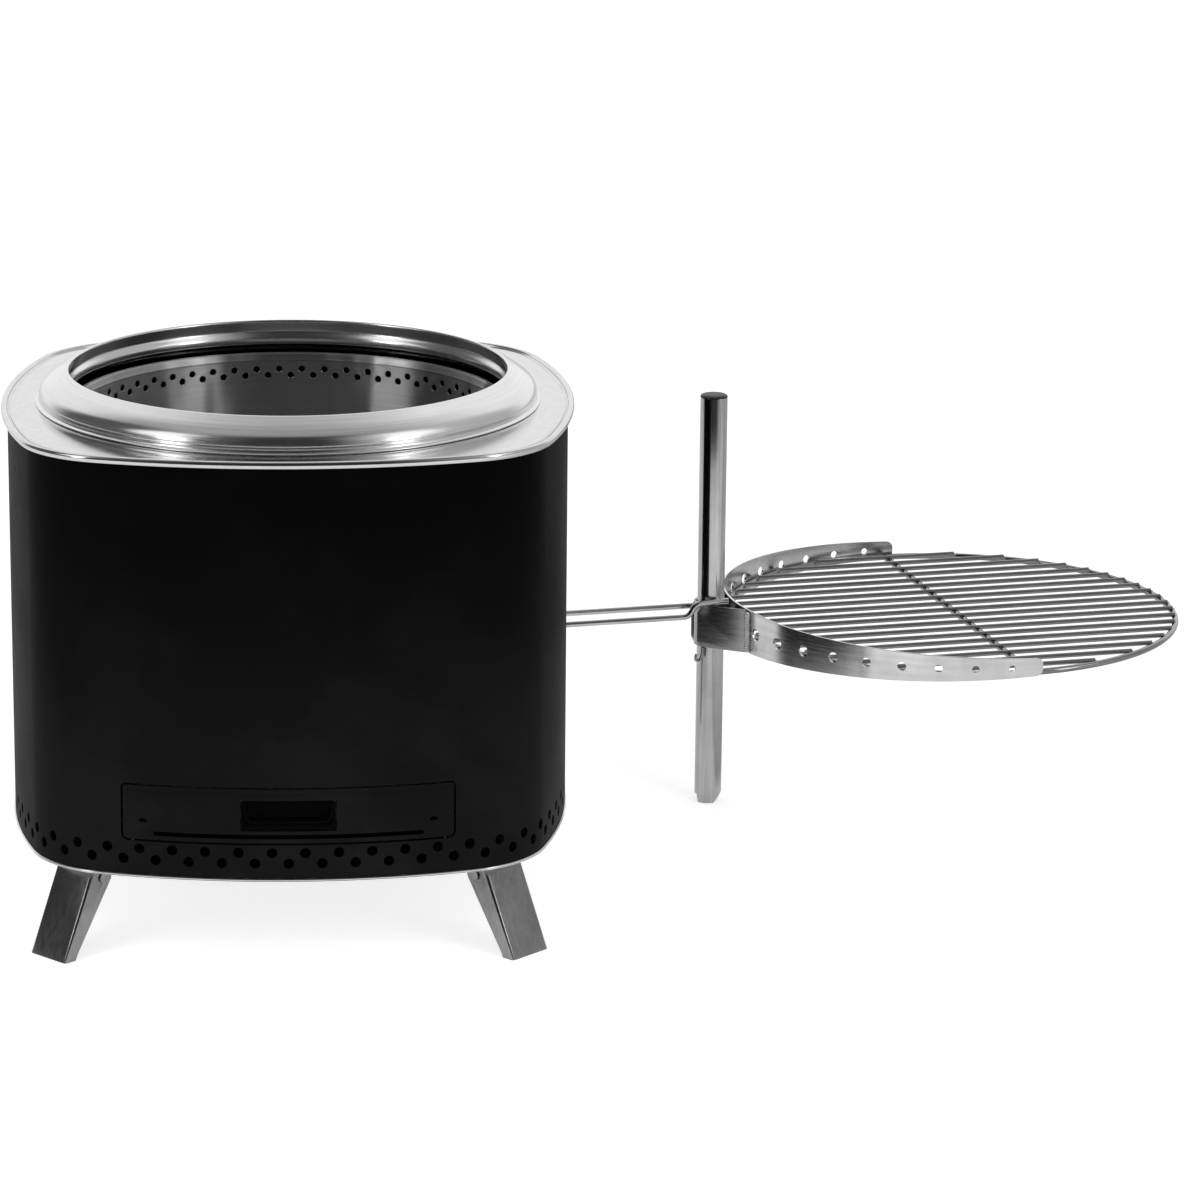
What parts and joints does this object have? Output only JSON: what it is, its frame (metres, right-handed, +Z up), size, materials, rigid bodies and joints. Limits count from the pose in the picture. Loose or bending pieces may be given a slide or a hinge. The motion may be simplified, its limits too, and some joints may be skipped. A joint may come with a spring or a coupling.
{
  "type": "fire barrel",
  "caption": "Square-sided patio fire barrel with a flame ring, drum, ash drawer and folding legs, and a swing-out cooking grate on its own post.",
  "frame": {"origin": "on the floor, under the middle of the whole set: barrel and grill beside it", "axes": "+Z up; -Y the front, where the ash drawer is; the grill set stands on the +X side"},
  "size_m": [1.0914, 0.7524, 0.4746],
  "materials": {
    "black_enamel": "satin black heat-resistant paint",
    "polished_steel": "polished stainless steel",
    "drum_steel": "rolled stainless steel, satin",
    "plain_sheet": "plain sheet steel",
    "sooted_steel": "plain steel darkened by fire",
    "brushed_steel": "brushed stainless steel",
    "weld_bead": "rippled weld",
    "black_plastic": "moulded black plastic"
  },
  "bodies": {
    "barrel": {"outer_shell": "black_enamel", "top_deck": "polished_steel", "flame_ring": "polished_steel", "fire_chamber": "drum_steel", "bulkhead": "plain_sheet", "fire_grate": "sooted_steel", "base_pan": "polished_steel", "drawer_rail_left": "plain_sheet", "drawer_rail_right": "plain_sheet", "leg_bracket_front_left": "plain_sheet", "leg_bracket_front_right": "plain_sheet", "leg_bracket_rear_right": "plain_sheet", "leg_bracket_rear_left": "plain_sheet", "leg_pin_front_left": "plain_sheet", "leg_pin_front_right": "plain_sheet", "leg_pin_rear_right": "plain_sheet", "leg_pin_rear_left": "plain_sheet"},
    "ash_drawer": {"drawer_front": "black_enamel", "drawer_scoop": "black_enamel", "drawer_pan": "plain_sheet", "tray_front": "black_enamel"},
    "leg_front_left": {"leg_front_left": "polished_steel"},
    "leg_front_right": {"leg_front_right": "polished_steel"},
    "leg_rear_right": {"leg_rear_right": "polished_steel"},
    "leg_rear_left": {"leg_rear_left": "polished_steel"},
    "grill_post": {"post_tube": "polished_steel", "post_cap": "black_plastic"},
    "grate_collar": {"slide_collar": "plain_sheet"},
    "swing_grate": {"wing_plate_near": "brushed_steel", "wing_plate_far": "brushed_steel", "wing_weld_near": "weld_bead", "wing_weld_far": "weld_bead", "arc_band": "brushed_steel", "cooking_grate": "brushed_steel", "handle_loop": "brushed_steel", "latch_hook": "brushed_steel"}
  },
  "joints": [
    {"name": "ash_drawer_slide", "type": "slide", "parent": "barrel", "child": "ash_drawer", "axis": [0, -1, 0], "range_m": [0, 0.3]},
    {"name": "leg_fold_front_left", "type": "hinge", "parent": "barrel", "child": "leg_front_left", "pos_m": [-0.47124, -0.30182, 0.0675], "axis": [0.7071, -0.7071, 0], "range_deg": [0, 112]},
    {"name": "leg_fold_front_right", "type": "hinge", "parent": "barrel", "child": "leg_front_right", "pos_m": [-0.1191, -0.30182, 0.0675], "axis": [0.7071, 0.7071, 0], "range_deg": [0, 112]},
    {"name": "leg_fold_rear_right", "type": "hinge", "parent": "barrel", "child": "leg_rear_right", "pos_m": [-0.1191, 0.05032, 0.0675], "axis": [-0.7071, 0.7071, 0], "range_deg": [0, 112]},
    {"name": "leg_fold_rear_left", "type": "hinge", "parent": "barrel", "child": "leg_rear_left", "pos_m": [-0.47124, 0.05032, 0.0675], "axis": [-0.7071, -0.7071, 0], "range_deg": [0, 112]},
    {"name": "grill_post_lift", "type": "slide", "parent": "barrel", "child": "grill_post", "axis": [0, 0, 1], "range_m": [0, 0.3]},
    {"name": "grate_height", "type": "slide", "parent": "grill_post", "child": "grate_collar", "axis": [0, 0, 1], "range_m": [-0.13, 0.18]},
    {"name": "grate_swing", "type": "hinge", "parent": "grate_collar", "child": "swing_grate", "pos_m": [0.09683, 0.10925, 0.175], "axis": [0, 0, 1], "range_deg": [-77, 0]}
  ]
}
